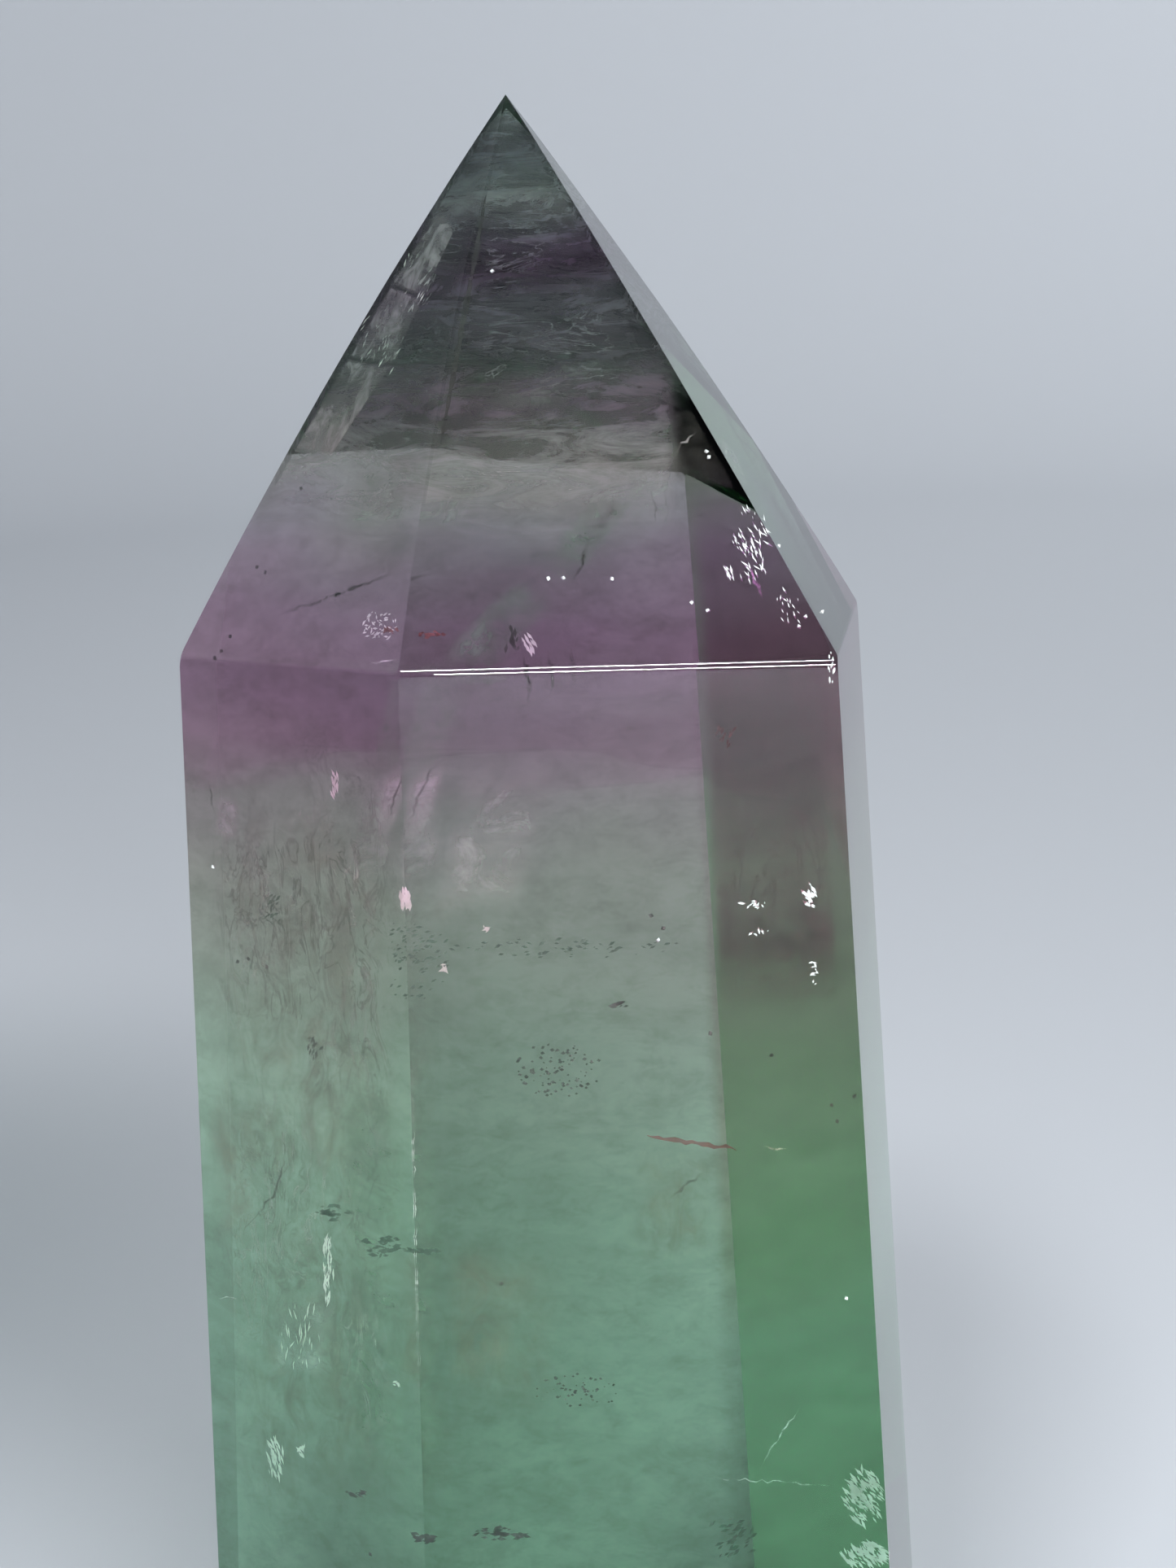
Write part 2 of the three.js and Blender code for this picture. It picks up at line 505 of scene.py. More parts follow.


# The haze under the faces of the point, by height in millimetres: partly milky haze, partly painted
# shade, whose dark bands stand in for the darkness that light mirrored inside the point gives it.
HAZE_AND_SHADE_COLOURS = [
    (157, (0.31, 0.34, 0.35)),
    (161, (0.30, 0.34, 0.34)),
    (163, (0.23, 0.26, 0.27)),
    (165, (0.115, 0.105, 0.135)),
    (166.5, (0.14, 0.128, 0.16)),
    (169, (0.044, 0.050, 0.057)),
    (172, (0.092, 0.092, 0.112)),
    (174.5, (0.076, 0.076, 0.094)),
    (176.5, (0.034, 0.026, 0.042)),
    (178.5, (0.095, 0.080, 0.118)),
    (179.8, (0.12, 0.13, 0.15)),
    (180.8, (0.22, 0.24, 0.25)),
    (182, (0.14, 0.17, 0.175)),
    (184, (0.075, 0.090, 0.100)),
    (186, (0.080, 0.095, 0.105)),
    (190, (0.20, 0.24, 0.24)),
]
HAZE_INSET = 0.7  # millimetres below the faces
HAZE_SWING = 0.006  # as for the zones
HAZE_FOOT = (0.153, 0.162)  # metres above the foot, from clear to hazy
HAZE_SIDE = (0.0140, 0.0122)  # metres to the right of the middle, from clear to hazy
HAZE_GAPS = 0.40  # how dense the haze still is between its streaks
STEEP = 0.45  # faces whose normals rise less than this belong to the body


def haze_and_shade_material():
    """The haze of the point, partly milky haze and partly painted shade, with level bands and streaks
    drawn out along them.
    """
    shader = Shader("haze", Roughness=0.9)
    share = shader.wavy_height(scale=70, detail=3, swing=HAZE_SWING)
    shader.colour_by(shader.bands(share, HAZE_AND_SHADE_COLOURS))
    streaks = shader.noise(scale=110, detail=8, roughness=0.75, stretch=(1, 1, 5), distortion=1.2)
    density = shader.remap(streaks, 0.38, 0.66, HAZE_GAPS, 1.0)
    above_foot = shader.remap(shader.axis(shader.place(), "Z"), *HAZE_FOOT)
    left_of_side = shader.remap(shader.axis(shader.place(), "X"), *HAZE_SIDE)
    extent = shader.math("MULTIPLY", above_foot, left_of_side)
    shader.show_by(shader.math("MULTIPLY", density, extent))
    return shader.material


def point_haze_and_shade():
    """Haze and painted shade just under the faces of the point."""
    bm = tower_body(HAZE_INSET)
    elsewhere = [face for face in bm.faces if face.normal.z < STEEP]
    bmesh.ops.delete(bm, geom=elsewhere, context="FACES")
    haze = object_from("point_haze_and_shade", bm)
    haze.data.materials.append(haze_and_shade_material())
    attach(haze, "root")


# ---- the photo's line of sight ----

FRAME_WIDTH, FRAME_HEIGHT = 1445, 1927
FOCAL_LENGTH_PX = 2895
CAMERA_PLACE = Vector((13.0, -203.61, 186.86))
CAMERA_YAW, CAMERA_PITCH, CAMERA_ROLL = -2.405, -15.544, -2.609


def camera_axes():
    """The camera's right, up and forward directions."""
    yaw, pitch, roll = (math.radians(a) for a in (CAMERA_YAW, CAMERA_PITCH, CAMERA_ROLL))
    forward = Vector((math.sin(yaw) * math.cos(pitch), math.cos(yaw) * math.cos(pitch), math.sin(pitch)))
    level_right = Vector((math.cos(yaw), -math.sin(yaw), 0))
    level_up = level_right.cross(forward)
    right = math.cos(roll) * level_right + math.sin(roll) * level_up
    return right, right.cross(forward), forward


STONE = BVHTree.FromBMesh(tower_body())  # the crystal's surface, in millimetres
RIGHT, ABOVE, FORWARD = camera_axes()
FAR_SIDE = 0.9  # share of the way through the stone that no mark lies beyond


def line_of_sight(place):
    """The direction in which the camera sees a place in the photo's frame."""
    across = (place[0] - FRAME_WIDTH / 2) / FOCAL_LENGTH_PX
    down = (place[1] - FRAME_HEIGHT / 2) / FOCAL_LENGTH_PX
    return (FORWARD + RIGHT * across - ABOVE * down).normalized()


def bent_inwards(ray, normal):
    """A ray's direction after it enters the stone through a surface."""
    facing = -ray.dot(normal)
    slowed = 1 / FLUORITE_IOR
    along = math.sqrt(1 - slowed ** 2 * (1 - facing ** 2))
    return (ray * slowed + normal * (slowed * facing - along)).normalized()


def inside(place, depth):
    """The point that is seen at a place in the photo's frame, a depth in millimetres below the
    surface, and the direction in which it is seen. Beside the stone there is no such point."""
    ray = line_of_sight(place)
    surface, normal = STONE.ray_cast(CAMERA_PLACE, ray)[:2]
    if surface is None:
        return None, ray
    ray = bent_inwards(ray, normal)
    reach = STONE.ray_cast(surface + ray * TOUCH, ray)[3] or 0
    return surface + ray * min(depth, FAR_SIDE * reach), ray


# ---- kinds of marks ----

# Places, spreads, sizes and widths are in pixels of the photo's frame, depths below the stone's
# surface and ripples in millimetres, and leans in degrees. A shard without a lean points anywhere,
# and its breadth is a share of its length.
Sheet = namedtuple("Sheet", "corners depth ripple cells", defaults=(14,))
Line = namedtuple("Line", "places width depth wobble", defaults=(2,))
Shard = namedtuple("Shard", "place size depth lean breadth", defaults=(None, 0.4))
Cluster = namedtuple("Cluster", "centre spread count size depth lean breadth", defaults=(None, 0.4))

PIXEL = 0.075  # millimetres that a pixel of the photo spans at the front of the tower
SWELL_LENGTH = 60  # pixels between the swells of a sheet
LINE_STEP = 7  # pixels between the places where a line changes its width
LINE_ENDS = 0.02  # how blunt the ends of a line are
RAGGED = (0.25, 0.6)  # least and greatest share of a line's width to each side
LEAN_SPREAD = 14  # degrees by which the leans of shards differ
TILT, BEND = 0.5, 0.3  # greatest tilt and bend of a shard, as shares of its length
SIZES, DEPTHS = (0.4, 1.2), (0.5, 1.3)  # least and greatest shares of a cluster's size and depth
CROWDING = 0.7  # more than 0.5 draws the shards of a cluster towards its centre


class Marks:
    """Thin sheets, lines and shards inside the stone, gathered into one mesh. Each is placed where
    the photo's frame shows it, and faces the camera's bent line of sight."""

    def __init__(self, seed):
        self.random = random.Random(seed)
        self.vertices, self.faces, self.spots = [], [], []

    def grid(self, rows):
        """A sheet through rows of points, with its own coordinates from 0 to 1."""
        start, width = len(self.vertices), len(rows[0])
        for j, row in enumerate(rows):
            for i, point in enumerate(row):
                self.vertices.append(point * MM)
                self.spots.append((i / (width - 1), j / (len(rows) - 1)))
        for j in range(len(rows) - 1):
            for i in range(width - 1):
                corner = start + j * width + i
                self.faces.append((corner, corner + 1, corner + width + 1, corner + width))

    def sheet(self, sheet):
        """A rippled sheet between four corners, given clockwise from the upper left one. It is left
        out if any of it is beside the stone."""
        upper_left, upper_right, lower_right, lower_left = (Vector(corner) for corner in sheet.corners)
        drift = self.random.uniform(0, 50)
        rows = []
        for j in range(sheet.cells + 1):
            left = upper_left.lerp(lower_left, j / sheet.cells)
            right = upper_right.lerp(lower_right, j / sheet.cells)
            row = []
            for i in range(sheet.cells + 1):
                place = left.lerp(right, i / sheet.cells)
                swell = noise.noise(Vector((place.x / SWELL_LENGTH, place.y / SWELL_LENGTH, drift)))
                point = inside(place, sheet.depth + sheet.ripple * (1 + swell))[0]
                if point is None:
                    return
                row.append(point)
            rows.append(row)
        self.grid(rows)

    def line(self, line):
        """A ragged line through some places, thin at both ends. It is left out if any of it is
        beside the stone."""
        places = [Vector(place) for place in line.places]
        path = []
        for start, end in zip(places, places[1:]):
            parts = max(1, round((end - start).length / LINE_STEP))
            path += [start.lerp(end, part / parts) for part in range(parts)]
        path.append(places[-1])
        edges = ([], [])
        for index, place in enumerate(path):
            before, after = path[max(index - 1, 0)], path[min(index + 1, len(path) - 1)]
            side = (after - before).orthogonal().normalized()
            middle = place + side * self.random.uniform(-line.wobble, line.wobble)
            share = index / (len(path) - 1)
            swelling = math.sqrt(4 * share * (1 - share) + LINE_ENDS)
            half = line.width * swelling * self.random.uniform(*RAGGED)
            for edge, way in zip(edges, (-half, half)):
                point = inside(middle + side * way, line.depth)[0]
                if point is None:
                    return
                edge.append(point)
        self.grid(edges)

    def shard(self, shard):
        """A small flat splinter, slightly bent."""
        point, ray = inside(shard.place, shard.depth)
        if point is None:
            return
        if shard.lean is None:
            angle = self.random.uniform(0, 180)
        else:
            angle = self.random.gauss(shard.lean, LEAN_SPREAD)
        across = ray.cross(UP).normalized()
        along = across.cross(ray)
        turn = math.radians(angle)
        tilt = self.random.uniform(-TILT, TILT)
        length = (across * math.cos(turn) + along * math.sin(turn) + ray * tilt) * shard.size * PIXEL
        width = (along * math.cos(turn) - across * math.sin(turn)) * shard.size * shard.breadth * PIXEL
        bend = self.random.uniform(-BEND, BEND)
        self.grid([[point - length, point - width * 0.8], [point + width + length * bend, point + length]])

    def cluster(self, cluster):
        """Shards of several sizes strewn around a centre."""
        for _ in range(cluster.count):
            turn = self.random.uniform(0, 2 * math.pi)
            far = self.random.uniform(0, 1) ** CROWDING
            across = cluster.centre[0] + cluster.spread[0] * far * math.cos(turn)
            down = cluster.centre[1] + cluster.spread[1] * far * math.sin(turn)
            size = cluster.size * self.random.uniform(*SIZES)
            depth = cluster.depth * self.random.uniform(*DEPTHS)
            self.shard(Shard((across, down), size, depth, cluster.lean, cluster.breadth))

    def piece(self, name, material):
        mesh = bpy.data.meshes.new(name)
        mesh.from_pydata(self.vertices, [], self.faces)
        layer = mesh.uv_layers.new(name="sheet")
        for loop in mesh.loops:
            layer.data[loop.index].uv = self.spots[loop.vertex_index]
        obj = linked_object(name, mesh)
        mesh.materials.append(material)
        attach(obj, "root")


def marks_piece(name, seed, marks, material):
    """One piece of the scene that holds all of some marks."""
    gathered = Marks(seed)
    add = {Sheet: gathered.sheet, Line: gathered.line, Shard: gathered.shard, Cluster: gathered.cluster}
    for mark in marks:
        add[type(mark)](mark)
    gathered.piece(name, material)


def band(left, right, folds):
    """Sheets that follow each other down between two edges, each with its depth and ripple."""
    corners = zip(left, right, right[1:], left[1:])
    return [Sheet(places, *fold) for places, fold in zip(corners, folds)]


def mark_material(name, colour, alpha, roughness=0.5):
    return Shader(name, Base_Color=(*colour, 1), Roughness=roughness, Alpha=alpha).material


def faded_borders(shader, margin):
    """0 at the border of a sheet and 1 inside its margin."""
    spot = shader.add("ShaderNodeTexCoord").outputs["UV"]
    fades = []
    for axis in ("X", "Y"):
        distance = shader.math("ABSOLUTE", shader.math("SUBTRACT", shader.axis(spot, axis), 0.5))
        fades.append(shader.remap(distance, 0.5 - margin, 0.5, 1, 0))
    return shader.math("MULTIPLY", *fades)


def show_sheet(shader, density, strength, margin):
    """Shows a sheet as far as its density says, and less towards its borders."""
    faded = shader.math("MULTIPLY", density, faded_borders(shader, margin))
    shader.show_by(shader.math("MULTIPLY", faded, strength, clamp=True))


def thread_material(name, colour, strength, scale, stretch):
    """A sheet that is clear but for a tangle of fine threads, which comes and goes."""
    fineness = 0.035  # how far from its middle level the noise still counts as a thread
    shader = Shader(name, Base_Color=(*colour, 1), Roughness=0.7)
    tangle = shader.noise(scale, detail=5, roughness=0.6, stretch=stretch, distortion=1.5)
    level = shader.math("ABSOLUTE", shader.math("SUBTRACT", tangle, 0.5))
    threads = shader.remap(level, 0, fineness, 1, 0)
    patches = shader.remap(shader.noise(scale * 0.7, detail=2), 0.42, 0.62)
    show_sheet(shader, shader.math("MULTIPLY", threads, patches), strength, margin=0.2)
    return shader.material


def crack_and_glint_material(name, colour, strength):
    """A crack or a painted glint line, deepest along its middle, which breaks up on its way."""
    shader = Shader(name, Base_Color=(*colour, 1), Roughness=0.6)
    gaps = shader.remap(shader.noise(scale=900, detail=4, roughness=0.7), 0.36, 0.60, 0.15, 1)
    show_sheet(shader, gaps, strength, margin=0.5)
    return shader.material


def veil_and_painted_light_material(name, colour, strength, stretch, margin=0.3):
    """A sheet that thins out towards its borders and breaks up into streaks: a milky veil, painted light
    or painted shade.
    """
    shader = Shader(name, Base_Color=(*colour, 1), Roughness=0.8)
    streaks = shader.noise(scale=150, detail=6, roughness=0.65, stretch=stretch, distortion=0.8)
    show_sheet(shader, shader.remap(streaks, 0.35, 0.75, 0.15, 1), strength, margin)
    return shader.material


# ---- veils, painted light and shade, and threads ----

# How noise is drawn out: a greater number along an axis makes it finer that way.
LEVEL, VERY_LEVEL = (1, 1, 1.6), (1, 1, 5)
UPRIGHT, DRAWN_DOWN, FINE_DOWN = (2.2, 2.2, 1), (3, 3, 1), (4, 4, 1)

PALE_VEILS_AND_LIGHT = [
    # two level bands below the tip, one on each front face of the point
    Sheet([(545, 232), (588, 232), (584, 256), (532, 262)], depth=1.5, ripple=0.5),
    Sheet([(594, 232), (694, 222), (702, 243), (590, 254)], depth=1.5, ripple=0.5),
    # painted light: the pale windows above the purple zone, where the point lets the light through
    Sheet([(776, 572), (834, 572), (830, 655), (762, 645)], depth=14, ripple=2),
    Sheet([(428, 580), (528, 560), (508, 650), (410, 660)], depth=16, ripple=2),
    # milky patches in the grey zone
    Sheet([(430, 960), (488, 940), (488, 1080), (424, 1100)], depth=12, ripple=2),
    Sheet([(496, 950), (560, 925), (520, 1030), (492, 1040)], depth=8, ripple=1),
    Sheet([(560, 940), (700, 905), (650, 1140), (510, 1150)], depth=10, ripple=3),
    Sheet([(262, 970), (298, 980), (295, 1040), (262, 1035)], depth=4, ripple=1),
    # a crumpled patch low on the left face
    Sheet([(330, 1590), (418, 1590), (404, 1700), (322, 1700)], depth=5, ripple=2),
    # streaks in the haze of the point
    Sheet([(640, 445), (780, 430), (790, 462), (650, 482)], depth=2, ripple=0.5),
    Sheet([(600, 480), (700, 470), (700, 500), (590, 510)], depth=2.2, ripple=0.5),
    Sheet([(690, 530), (800, 515), (800, 540), (700, 556)], depth=2.2, ripple=0.5),
]
# a grey band of sheets just under the left flank of the point
FLANK_GREY_BAND = band(
    left=[(545, 250), (480, 350), (428, 440), (362, 552), (285, 680)],
    right=[(558, 285), (520, 367), (482, 448), (407, 562), (350, 690)],
    folds=[(0.3, 0.1), (0.3, 0.1), (0.3, 0.1), (0.3, 0.2)],
)
GREEN_VEILS_AND_SHADE = [
    # the fracture that crosses the purple zone, down to the left
    *band(
        left=[(748, 585), (640, 700), (520, 815), (478, 940)],
        right=[(800, 600), (700, 735), (590, 850), (530, 965)],
        folds=[(9, 2), (9, 2), (8, 2)],
    ),
    # painted shade: the darker strip of the left face, beside the front edge, standing in for the darker
    # surroundings seen through it
    Sheet([(404, 1230), (500, 1230), (514, 1910), (428, 1910)], depth=7, ripple=2, cells=20),
]
CORNER_SHADE = [
    # painted shade in the dark wedge at the right ridge of the point
    Sheet([(822, 500), (848, 500), (908, 604), (826, 592)], depth=1, ripple=0.3),
    # painted shade over the darker right part of the front face
    Sheet([(866, 845), (1014, 838), (1034, 1190), (878, 1200)], depth=3, ripple=1, cells=16),
    Sheet([(866, 835), (1014, 828), (1022, 1010), (870, 1020)], depth=2, ripple=0.6, cells=16),
    Sheet([(874, 1070), (1026, 1060), (1034, 1230), (880, 1240)], depth=2, ripple=0.6, cells=16),
]
BROWN_VEILS_AND_SHADE = [
    # the fan at the left edge
    Sheet([(244, 1330), (350, 1345), (302, 1545), (256, 1550)], depth=4, ripple=2),
    # two smudges in the green zone
    Sheet([(540, 1500), (700, 1530), (690, 1760), (520, 1740)], depth=12, ripple=3),
    Sheet([(770, 1400), (900, 1400), (880, 1560), (760, 1560)], depth=20, ripple=4),
    # two wide veils behind the left face: partly brownish veiling, partly painted shade that darkens the
    # left face
    Sheet([(236, 930), (488, 940), (498, 1570), (258, 1570)], depth=8, ripple=4, cells=30),
    Sheet([(258, 1440), (500, 1440), (512, 1880), (276, 1880)], depth=11, ripple=4, cells=30),
]


def veils_and_painted_light():
    pale = veil_and_painted_light_material("veil", (0.62, 0.74, 0.68), strength=0.75, stretch=LEVEL)
    marks_piece("pale_veils_and_light", 21, PALE_VEILS_AND_LIGHT, pale)
    flank = veil_and_painted_light_material("flank_grey_band", (0.44, 0.46, 0.46), 0.95, DRAWN_DOWN, margin=0.06)
    marks_piece("flank_grey_band", 23, FLANK_GREY_BAND, flank)
    green = veil_and_painted_light_material("green_veil_and_shade", (0.22, 0.36, 0.26), strength=0.8, stretch=LEVEL)
    marks_piece("green_veils_and_shade", 24, GREEN_VEILS_AND_SHADE, green)
    shade = veil_and_painted_light_material("shade", (0.08, 0.095, 0.085), 0.6, LEVEL, margin=0.1)
    marks_piece("corner_shade", 28, CORNER_SHADE, shade)
    brown = veil_and_painted_light_material("brown_veil_and_shade", (0.30, 0.27, 0.21), strength=0.55, stretch=UPRIGHT)
    marks_piece("brown_veils_and_shade", 22, BROWN_VEILS_AND_SHADE, brown)


SMOKY_THREADS = [
    # the left face, and the darker right part of the front face
    Sheet([(234, 860), (490, 862), (510, 1620), (256, 1620)], depth=3, ripple=3, cells=30),
    Sheet([(866, 850), (1018, 840), (1050, 1300), (880, 1300)], depth=4, ripple=3, cells=20),
]
SILVER_THREADS = [
    Sheet([(240, 900), (480, 900), (500, 1900), (272, 1900)], depth=5, ripple=3, cells=40),
]
LEVEL_THREADS = [
    # the two front faces of the point
    Sheet([(600, 170), (650, 170), (812, 500), (560, 560)], depth=1.6, ripple=1, cells=40),
    Sheet([(560, 240), (590, 180), (545, 540), (410, 550)], depth=1.6, ripple=1, cells=40),
]


def threads():
    """Tangles of fine fracture lines, across whole faces."""
    smoky = thread_material("smoky_thread", (0.10, 0.10, 0.08), 0.45, 110, DRAWN_DOWN)
    marks_piece("smoky_threads", 25, SMOKY_THREADS, smoky)
    silver = thread_material("silver_thread", (0.60, 0.64, 0.62), 0.5, 90, FINE_DOWN)
    marks_piece("silver_threads", 26, SILVER_THREADS, silver)
    level = thread_material("level_thread", (0.55, 0.60, 0.62), 0.9, 120, VERY_LEVEL)
    marks_piece("level_threads", 27, LEVEL_THREADS, level)


# ---- cracks and painted glints ----

DARK_CRACKS = [
    # the long crack from the point down across the purple zone
    Line([(785, 545), (775, 575), (760, 600)], width=7, depth=9),
    Line([(762, 598), (752, 625), (738, 645), (722, 655)], width=16, depth=9),
    Line([(724, 652), (718, 690), (700, 720)], width=8, depth=9),
    # two short ones beside it
    Line([(800, 598), (806, 625), (802, 650)], width=4, depth=9),
    Line([(815, 602), (820, 626), (816, 648)], width=4, depth=9),
    # on the left flank of the point
    Line([(368, 540), (372, 570), (379, 607)], width=3, depth=2),
    # in the grey zone and down the left edge
    Line([(555, 925), (530, 945), (515, 975), (507, 1000), (495, 1028)], width=6, depth=7),
    Line([(255, 955), (260, 985), (265, 1010)], width=4, depth=3),
    Line([(345, 1360), (350, 1430), (335, 1470), (300, 1510), (290, 1545)], width=4, depth=4),
    # the slanting line above the left shoulder
    Line([(330, 760), (400, 735), (500, 700)], width=7, depth=10),
    # three short ones that cross the shoulder
    Line([(640, 800), (652, 840), (648, 872)], width=9, depth=6),
    Line([(672, 795), (680, 830), (676, 868)], width=9, depth=6),
    Line([(700, 792), (706, 820), (702, 850)], width=8, depth=6),
    # in the right half of the body
    Line([(940, 1000), (920, 1030), (900, 1060)], width=5, depth=4),
    Line([(820, 1475), (842, 1458), (866, 1440)], width=6, depth=10),
]
PALE_LINES_AND_GLINTS = [
    # two fine ones low on the right
    Line([(860, 1815), (950, 1821), (1040, 1828)], width=3, depth=3),
    Line([(985, 1725), (955, 1770), (930, 1810)], width=3, depth=3),
    # beside the chips at the right ridge, and in the dark wedge above them
    Line([(915, 685), (928, 715), (940, 738)], width=7, depth=2),
    Line([(820, 566), (838, 545), (858, 530)], width=5, depth=2),
    # short level ones
    Line([(935, 1410), (970, 1411)], width=4, depth=5),
    Line([(256, 1594), (314, 1595)], width=2, depth=2),
    # a painted reflection: the pale glint at the left end of the shoulder
    Line([(452, 815), (470, 814), (490, 812)], width=5, depth=0.6),
    # a painted highlight: the glint along the front edge
    Line([(506, 1250), (510, 1500), (516, 1800)], width=2, depth=0.5),
]
RUST_SPECKS = [
    Line([(795, 1395), (850, 1404), (905, 1412)], width=6, depth=6),
    Cluster((479, 775), (10, 4), count=16, size=3, depth=1, lean=0, breadth=0.7),
    Cluster((530, 780), (17, 4), count=22, size=3, depth=1, lean=0, breadth=0.7),
    Cluster((892, 905), (14, 16), count=16, size=4, depth=2, lean=60),
]


def cracks_and_glints():
    marks_piece("dark_cracks", 31, DARK_CRACKS, crack_and_glint_material("crack", (0.04, 0.05, 0.04), 1.0))
    marks_piece("pale_lines_and_glints", 32, PALE_LINES_AND_GLINTS, crack_and_glint_material("pale_line_and_glint", (0.85, 0.90, 0.88), 1.2))
    marks_piece("rust_specks", 33, RUST_SPECKS, mark_material("rust", (0.16, 0.06, 0.05), alpha=0.85))


# ---- specks, splinters, chips and painted glints ----

OPEN = -0.02  # depth in millimetres of a splinter that is open to the surface

DARK_DOTS = [
    (517, 307), (626, 295), (711, 330), (679, 320), (370, 600), (316, 697), (326, 703), (264, 808),
    (272, 800), (283, 782), (292, 1182), (305, 1178), (328, 1188), (800, 1125), (815, 1141),
    (873, 1270), (948, 1297), (1022, 1358), (1029, 1378), (1050, 1347), (616, 1578), (455, 1910),
]
# painted glints: bright dots where the surface catches the light
BRIGHT_DOTS = [
    (605, 333), (850, 740), (870, 750), (990, 758), (982, 770), (868, 555), (871, 562), (674, 711),
    (692, 710), (752, 711), (957, 671), (1010, 752), (262, 1065), (809, 1155), (1040, 1595),
]
RIDGE = [(597, 240), (590, 282), (576, 358), (558, 457), (541, 548)]

DARK_SPECKS_AND_RIDGE_SHADE = [
    *(Shard(place, size=3.2, depth=0.8, breadth=0.9) for place in DARK_DOTS),
    # painted shade: the dark line that the ridge between the front faces of the point shows
    Line(RIDGE, width=7, depth=0.12, wobble=0.4),
    # below the tip, and beside the lower end of that ridge
    Shard((597, 183), size=6, depth=0.8, lean=60, breadth=0.5),
    Cluster((583, 508), (10, 8), count=14, size=5, depth=1.5),
    # level dashes and dotted patches in the green zone
    Cluster((760, 1235), (11, 3), count=12, size=5, depth=6, lean=0),
    Cluster((685, 1315), (55, 34), count=110, size=2.4, depth=9, lean=0, breadth=0.8),
    Cluster((710, 1710), (52, 22), count=60, size=2.2, depth=9, lean=0, breadth=0.8),
    Cluster((385, 1290), (11, 20), count=14, size=5, depth=5, lean=60),
    # along the lower edge of the photo
    Cluster((438, 1835), (17, 4), count=12, size=6, depth=3, lean=0),
    Cluster((515, 1892), (12, 8), count=16, size=6, depth=3, lean=0),
    Cluster((615, 1885), (36, 8), count=30, size=6, depth=3, lean=0),
    # at the shoulder's highlight
    Cluster((630, 790), (10, 18), count=12, size=6, depth=4, lean=80),
]
GREEN_DASHES = [
    # three rows that step down to the front edge
    Cluster((405, 1489), (24, 11), count=30, size=6, depth=4, lean=10),
    Cluster((470, 1532), (28, 13), count=46, size=6, depth=4, lean=10),
    Cluster((527, 1538), (18, 3), count=12, size=6, depth=4, lean=0),
    # where the grey zone turns green
    Cluster((520, 1180), (32, 50), count=60, size=4, depth=6, lean=20),
    Cluster((335, 1120), (12, 20), count=16, size=5, depth=5, lean=40),
    # low on the right
    Cluster((897, 1893), (34, 32), count=40, size=6, depth=8, lean=30),
    # the level row across the front face
    Cluster((700, 1165), (150, 12), count=60, size=4, depth=10, lean=0),
]
BRIGHT_FLECKS = [
    # scratches on the left flank of the point
    Cluster((513, 345), (24, 38), count=70, size=6, depth=1.2, lean=60, breadth=0.2),
    Cluster((470, 420), (30, 40), count=60, size=6, depth=1.2, lean=60, breadth=0.2),
    # above the shoulder
    Cluster((465, 768), (24, 20), count=60, size=3, depth=1),
    Cluster((651, 792), (8, 12), count=16, size=6, depth=2, lean=120, breadth=0.3),
    # in the grey zone
    Cluster((411, 966), (6, 17), count=16, size=6, depth=2, lean=100, breadth=0.3),
    Cluster((498, 1105), (6, 10), count=12, size=6, depth=1.5, lean=90),
    Cluster((545, 1190), (4, 5), count=5, size=5, depth=2),
    Cluster((597, 1142), (4, 5), count=5, size=5, depth=2),
    # the broken strip down the left face
    Cluster((403, 1560), (7, 40), count=50, size=7, depth=2, lean=80, breadth=0.2),
    Cluster((372, 1645), (30, 42), count=40, size=7, depth=3, lean=80, breadth=0.15),
    Cluster((338, 1793), (10, 28), count=60, size=7, depth=1.5, lean=110, breadth=0.25),
    Cluster((371, 1782), (4, 7), count=8, size=5, depth=1.5),
    Cluster((486, 1700), (6, 3), count=6, size=4, depth=2),
    # the two broken places at the lower right edge
    Cluster((1062, 1840), (24, 36), count=130, size=7, depth=1.2, lean=130, breadth=0.25),
    Cluster((1064, 1911), (28, 16), count=90, size=7, depth=1.2, lean=130, breadth=0.25),
]
OPEN_CHIPS_AND_GLINTS = [
    *(Shard(place, size=2.8, depth=OPEN, breadth=0.9) for place in BRIGHT_DOTS),
    # along the right ridge of the point
    Cluster((922, 672), (24, 48), count=70, size=5.5, depth=OPEN, lean=115, breadth=0.16),
    Cluster((968, 748), (18, 24), count=18, size=4, depth=OPEN, lean=110, breadth=0.2),
    Cluster((895, 707), (6, 12), count=14, size=5, depth=OPEN, lean=110, breadth=0.2),
    # on the darker right part of the front face
    Cluster((925, 1112), (20, 8), count=16, size=3, depth=OPEN),
    Cluster((994, 1102), (8, 16), count=24, size=5, depth=OPEN, lean=120),
    Cluster((933, 1145), (12, 5), count=8, size=3, depth=OPEN),
    Cluster((1002, 1192), (7, 17), count=14, size=3, depth=OPEN),
    # painted glints at the right end of the shoulder's highlight, where the corner catches the light
    Cluster((1021, 822), (4, 20), count=12, size=4, depth=OPEN, lean=90),
]


def specks():
    dark = mark_material("dark_speck_and_ridge_shade", (0.02, 0.03, 0.025), alpha=0.8)
    marks_piece("dark_specks_and_ridge_shade", 41, DARK_SPECKS_AND_RIDGE_SHADE, dark)
    green = mark_material("green_dash", (0.02, 0.09, 0.05), alpha=0.7)
    marks_piece("green_dashes", 42, GREEN_DASHES, green)


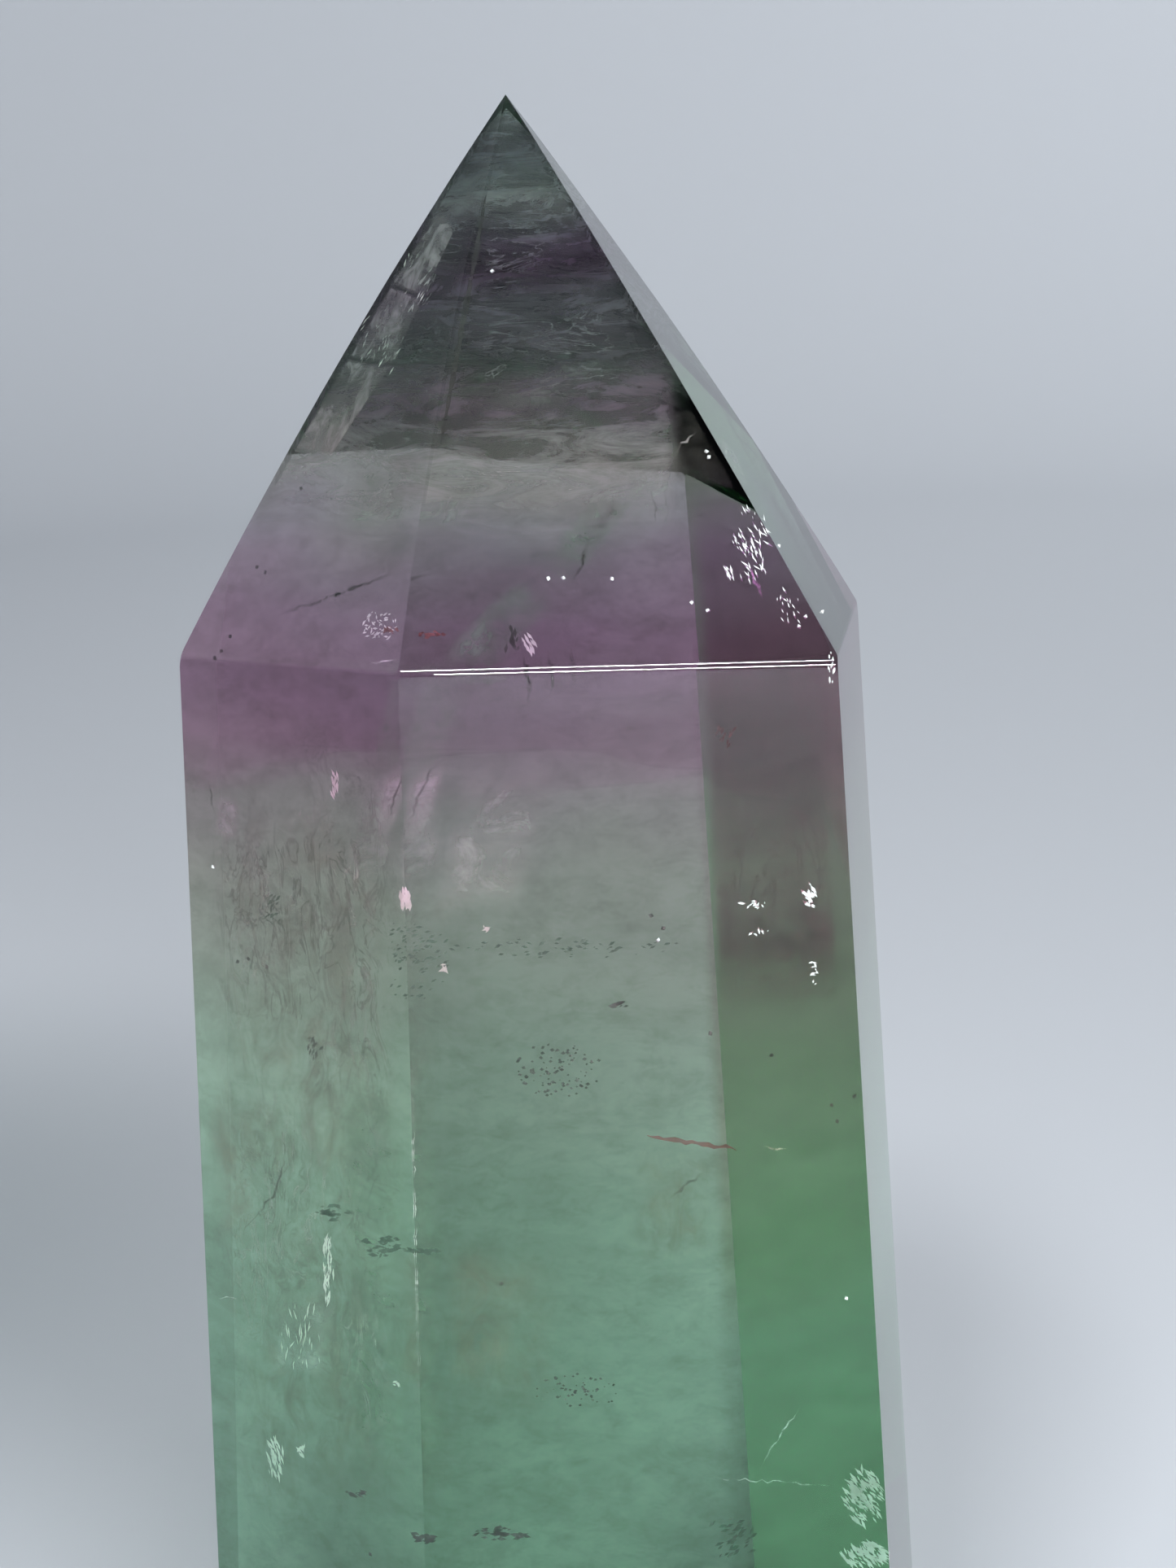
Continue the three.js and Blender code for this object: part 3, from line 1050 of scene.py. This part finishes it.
def flecks():
    """Bright splinters of broken stone, drawn out where they follow a crack, and chips with painted glints
    on the surface.
    """
    bright = mark_material("fleck", (0.86, 0.98, 0.88), alpha=0.95, roughness=0.25)
    marks_piece("bright_flecks", 51, BRIGHT_FLECKS, bright)
    chip_and_glint = mark_material("chip_and_glint", (0.44, 0.47, 0.47), alpha=0.85, roughness=0.4)
    marks_piece("open_chips_and_glints", 52, OPEN_CHIPS_AND_GLINTS, chip_and_glint)


# ---- stage, lights and camera ----

# The backdrop and the lights are in metres.
FLOOR_RADIUS = 1.0
WALL_RADIUS = 1.6
WALL_HEIGHT = 1.6
FLOOR_GAP = 0.0002
SWEEP_STEPS = 24
WALL_SIDES = 96


def backdrop_profile():
    """The radius and height of each ring of the backdrop, from the middle of the floor outwards."""
    sweep = WALL_RADIUS - FLOOR_RADIUS
    profile = [(0.0, 0.0), (FLOOR_RADIUS / 2, 0.0)]
    for step in range(SWEEP_STEPS + 1):
        angle = math.radians(90) * step / SWEEP_STEPS
        profile.append((FLOOR_RADIUS + sweep * math.sin(angle), sweep * (1 - math.cos(angle))))
    profile.append((WALL_RADIUS, WALL_HEIGHT))
    return profile


def backdrop():
    """A round seamless floor that sweeps up into a wall on all sides."""
    profile = backdrop_profile()
    vertices, faces = [], []
    for radius, height in profile:
        for k in range(WALL_SIDES):
            angle = 2 * math.pi * k / WALL_SIDES
            vertices.append((radius * math.cos(angle), radius * math.sin(angle), height - FLOOR_GAP))
    for ring in range(len(profile) - 1):
        for k in range(WALL_SIDES):
            a, b = (ring * WALL_SIDES + side for side in (k, (k + 1) % WALL_SIDES))
            faces.append((a, b, b + WALL_SIDES, a + WALL_SIDES))
    mesh = bpy.data.meshes.new("backdrop")
    mesh.from_pydata(vertices, [], faces)
    bm = bmesh.new()
    bm.from_mesh(mesh)
    bmesh.ops.remove_doubles(bm, verts=bm.verts, dist=SAME_POINT * MM)
    bm.to_mesh(mesh)
    bm.free()
    mesh.shade_smooth()
    obj = linked_object("backdrop", mesh)
    obj.data.materials.append(paper_material())


SHOULDER_MIDDLE = Vector((0, 0, (HEIGHT - POINT_HEIGHT) * MM))
WALL_SPOT = Vector((0.2, 1.5, 0.4))  # on the wall behind the tower

# Azimuth 0 is in front of a lamp's target, and 90 to its right.
Lamp = namedtuple("Lamp", "name azimuth elevation distance size radiance target",
                  defaults=(SHOULDER_MIDDLE,))
LAMPS = [
    Lamp("key", azimuth=-15, elevation=45, distance=1.2, size=(0.2, 0.2), radiance=98),
    Lamp("upper_strip", azimuth=25.5, elevation=31, distance=1.1, size=(0.68, 0.09), radiance=92),
    Lamp("lower_strip", azimuth=16.5, elevation=7, distance=1.1, size=(0.34, 0.09), radiance=110),
    Lamp("wall_wash", 40, 50, distance=1.1, size=(0.4, 0.4), radiance=20, target=WALL_SPOT),
]
ROOM_COLOUR = (0.78, 0.91, 1.0)
ROOM_STRENGTH = 0.06


def area_light(lamp):
    """A rectangular light that faces its target. It isn't seen through the crystal."""
    light = bpy.data.lights.new(lamp.name, "AREA")
    light.shape = "RECTANGLE"
    light.size, light.size_y = lamp.size
    light.energy = lamp.radiance * math.pi * lamp.size[0] * lamp.size[1]
    turn, lift = math.radians(lamp.azimuth), math.radians(lamp.elevation)
    away = Vector((math.sin(turn) * math.cos(lift), -math.cos(turn) * math.cos(lift), math.sin(lift)))
    obj = linked_object(lamp.name, light)
    obj.location = lamp.target + away * lamp.distance
    obj.rotation_euler = (-away).to_track_quat("-Z", "Y").to_euler()
    obj.visible_transmission = False


def room_light():
    world = bpy.data.worlds.new("soft_room")
    world.use_nodes = True
    background = world.node_tree.nodes["Background"]
    background.inputs["Color"].default_value = (*ROOM_COLOUR, 1)
    background.inputs["Strength"].default_value = ROOM_STRENGTH
    bpy.context.scene.world = world


SENSOR_WIDTH = 36
CLIP_START = 0.001


def photo_camera():
    camera = bpy.data.cameras.new("photo_camera")
    camera.sensor_fit = "AUTO"
    camera.sensor_width = SENSOR_WIDTH
    camera.lens = SENSOR_WIDTH * FOCAL_LENGTH_PX / FRAME_HEIGHT
    camera.clip_start = CLIP_START
    obj = linked_object("photo_camera", camera)
    turn = Matrix((RIGHT, ABOVE, -FORWARD)).transposed()
    obj.matrix_world = Matrix.Translation(CAMERA_PLACE * MM) @ turn.to_4x4()
    bpy.context.scene.camera = obj


def light_paths():
    """Enough bounces for the mirrored views inside the crystal, and plain colours."""
    scene = bpy.context.scene
    scene.cycles.max_bounces = 40
    scene.cycles.transmission_bounces = 40
    scene.cycles.diffuse_bounces = 3
    scene.cycles.sample_clamp_indirect = 6
    scene.cycles.caustics_reflective = False
    scene.cycles.transparent_max_bounces = 24
    scene.view_settings.view_transform = "Standard"


# ---- the scene ----

crystal = tower()
crystal.data.materials.append(crystal_material())
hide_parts("fluorite_tower")
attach(crystal, "root")

stone_zone("zone_purple", PURPLE_ZONE, zone_material("purple_zone", PURPLE, PURPLE_DENSITY))
point_haze_and_shade()
veils_and_painted_light()
threads()
cracks_and_glints()
specks()
flecks()

backdrop()
room_light()
for lamp in LAMPS:
    area_light(lamp)
photo_camera()
light_paths()
